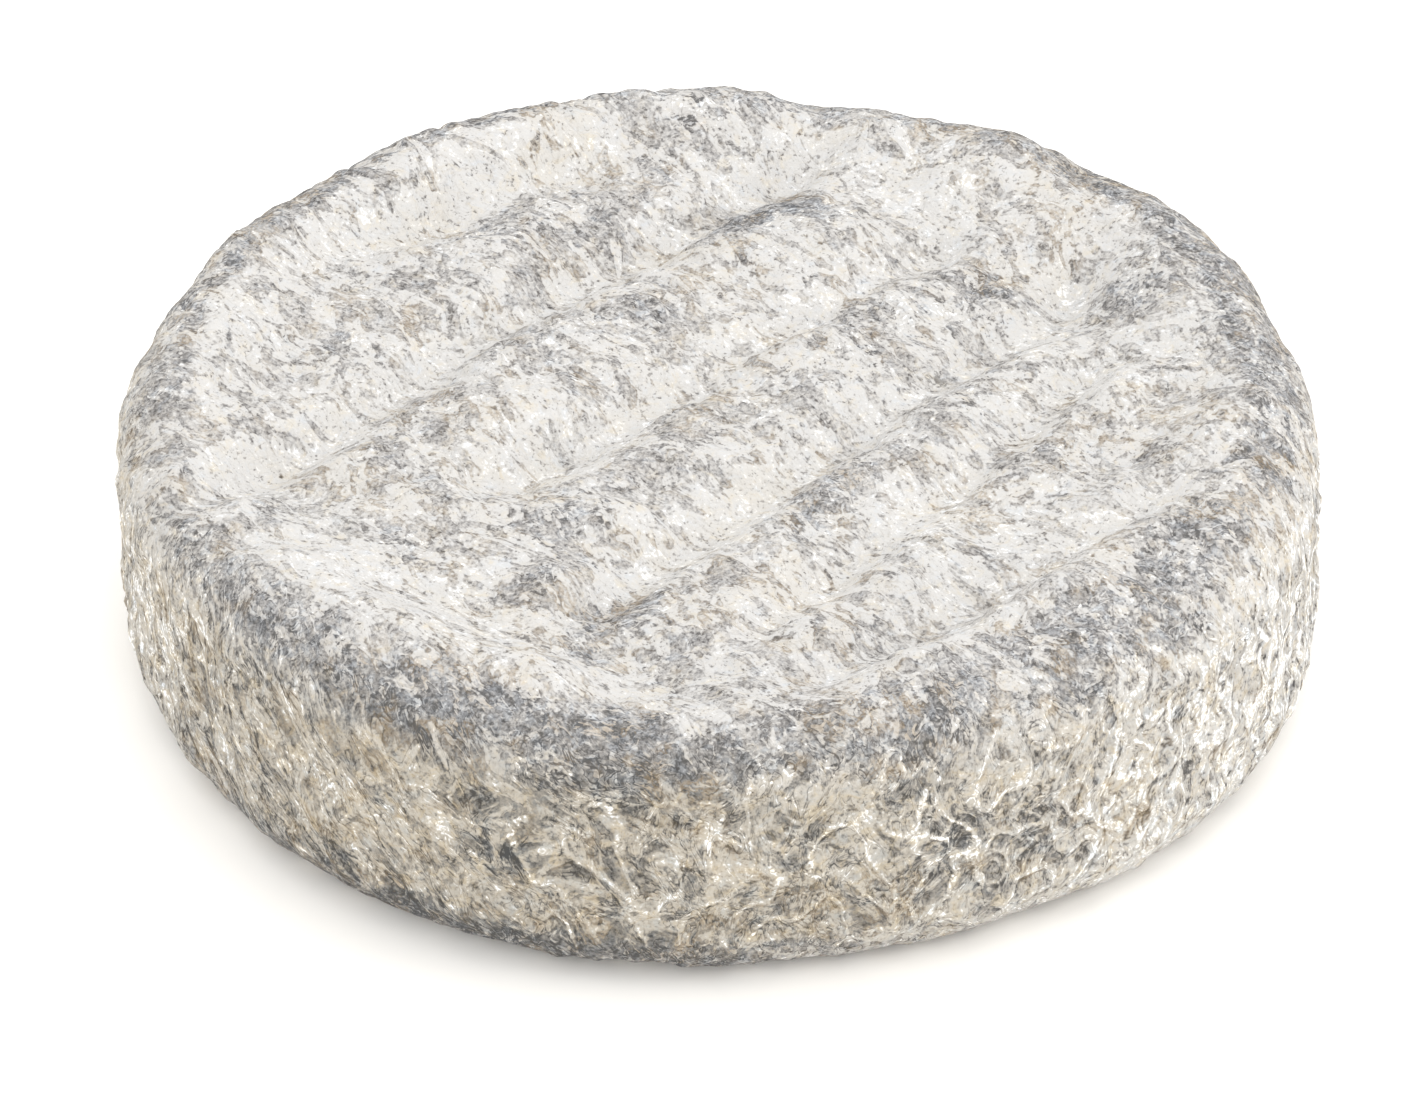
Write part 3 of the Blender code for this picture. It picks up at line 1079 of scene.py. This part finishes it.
def rindLevel(f, p):  # tone between bare ash, 0, and full mould, 1
    side, mould = f["side"], f["mould"]
    onTop = p["topStart"] + weighed(f, p["topWeights"])
    onTop = onTop + weighed(f, p["topGrain"]) * (1.15 - mould * 0.55)
    onSide = p["sideStart"] + weighed(f, p["sideWeights"]) + f["network"] * f["vein"] * 0.10
    onSide = onSide - f["ash"].atLeast(-0.4) * 0.17 + f["lift"].atLeast(-1.0).atMost(0.8) * 0.15
    lines = f["vein"] * 0.28 + f["hair"] * 0.18
    onSide = onSide + lines * (f["ash"].rise(-0.3, 0.9) * 0.7 + f["core"] * 0.3)
    # pale ribbons, darker by painted shade beside them
    pleats = (f["ribbon"] - 0.55) * 0.5 - f["ribbonShade"] * 0.35
    onSide = (onSide + pleats * f["pleated"]).atMost(p["sideMost"])
    level = onTop * (1 - side) + onSide * side + weighed(f, p["sharedWeights"])
    return level - f["speck"] * (0.32 - side * 0.18)


def rindColour(f, level, p):
    colour = mix(f["beige"], ramp(level, p["topTones"]), ramp(level, p["sideTones"]))
    colour = mix(f["warmth"].rise(0.2, 1.1), colour, p["warmTint"], "MULTIPLY")
    # spots of straw and slate, and more slate where the ash is bare
    spots = f["hue"] * (0.85 + f["side"] * 0.5 + f["bare"] * 0.2) + 0.04 - f["bare"] * 0.4
    colour = mix(spots.rise(0.05, 1.0), colour, p["straw"], "MULTIPLY")
    colour = mix(spots.rise(-0.05, -1.0), colour, p["slate"], "MULTIPLY")
    dark = 1 - level.rise(0.3, 0.6)
    colour = mix(f["tone"].rise(0.3, 1.0) * dark, colour, p["coolTint"], "MULTIPLY")
    # ochre along the edges of the forms, also over the painted shade lines beside the veins and ribbons
    edge = f["margin"] + f["fleck"] + (f["scribble"] + f["veinShade"]) * f["side"]
    edge = (edge + f["ribbonShade"] * f["pleated"]).atMost(1)
    colour = mix(edge * f["warmth"].rise(0.2, 0.9) * (0.28 + f["bare"] * 0.08), colour, p["ochre"])
    # painted shade on the side's upward faces, against the extra light they catch
    colour = mix(f["ledge"], colour, p["ledgeTint"], "MULTIPLY")
    return mix(f["dash"] * 0.5, colour, p["pit"])


def rindMaterial(p):
    material, tree, shader = newMaterial("ash_rind")
    forms = rindForms(tree, p)
    level = rindLevel(forms, p)
    colour = rindColour(forms, level, p)
    relief = {"Strength": p["bumpStrength"], "Distance": mm, "Height": weighed(forms, p["heights"])}
    bump = addNode(tree, "ShaderNodeBump", {}, relief, "Normal")
    tree.links.new(colour.socket, shader.inputs["Base Color"])
    rough = p["roughness"] + level * p["mouldRoughness"]
    tree.links.new(rough.socket, shader.inputs["Roughness"])
    tree.links.new(bump.socket, shader.inputs["Normal"])
    shader.inputs["Specular IOR Level"].default_value = 0.0
    return material


cheese.data.materials.append(rindMaterial(paint))
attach(cheese, "root")
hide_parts(wheel["node"])
print("rind painted")


# the table and the light
studio = {
    "floorRadius": 3.0,  # m
    "floorCorners": 96,
    "floorColour": (0.97, 0.955, 0.925, 1.0),
    "skyStrength": 1.38,
    "skyColour": (1.0, 1.0, 1.0, 1.0),
    # soft lamps: place in m, width, power, colour
    "lamps": {
        "overhead": ((0.1, 0.15, 1.0), 1.1, 1.5, (1.0, 0.99, 0.98)),
        "rightLamp": ((1.0, -0.1, 0.65), 0.5, 2.2, (1.0, 0.985, 0.97)),
        "frontLamp": ((0.15, -1.1, 0.4), 0.9, 1.3, (1.0, 0.985, 0.97)),
    },
}


def buildStudio(s):
    count, radius = s["floorCorners"], s["floorRadius"]
    turns = [2 * math.pi * corner / count for corner in range(count)]
    ring = [(radius * math.cos(turn), radius * math.sin(turn), 0) for turn in turns]
    mesh = bpy.data.meshes.new("table")
    mesh.from_pydata(ring, [], [range(count)])
    floor = bpy.data.objects.new("table", mesh)
    bpy.context.scene.collection.objects.link(floor)
    material, tree, shader = newMaterial("paleTable")
    shader.inputs["Base Color"].default_value = s["floorColour"]
    shader.inputs["Roughness"].default_value = 0.7
    shader.inputs["Specular IOR Level"].default_value = 0.0
    mesh.materials.append(material)

    world = bpy.data.worlds.new("studio")
    world.use_nodes = True
    sky = world.node_tree.nodes["Background"]
    sky.inputs["Color"].default_value = s["skyColour"]
    sky.inputs["Strength"].default_value = s["skyStrength"]
    bpy.context.scene.world = world

    for name, (place, width, power, colour) in s["lamps"].items():
        light = bpy.data.lights.new(name, "AREA")
        light.shape = "DISK"
        light.size = width
        light.energy = power
        light.color = colour
        lamp = bpy.data.objects.new(name, light)
        lamp.location = place
        lamp.rotation_euler = (-lamp.location).to_track_quat("-Z", "Y").to_euler()
        bpy.context.scene.collection.objects.link(lamp)


buildStudio(studio)
print("table and light set")
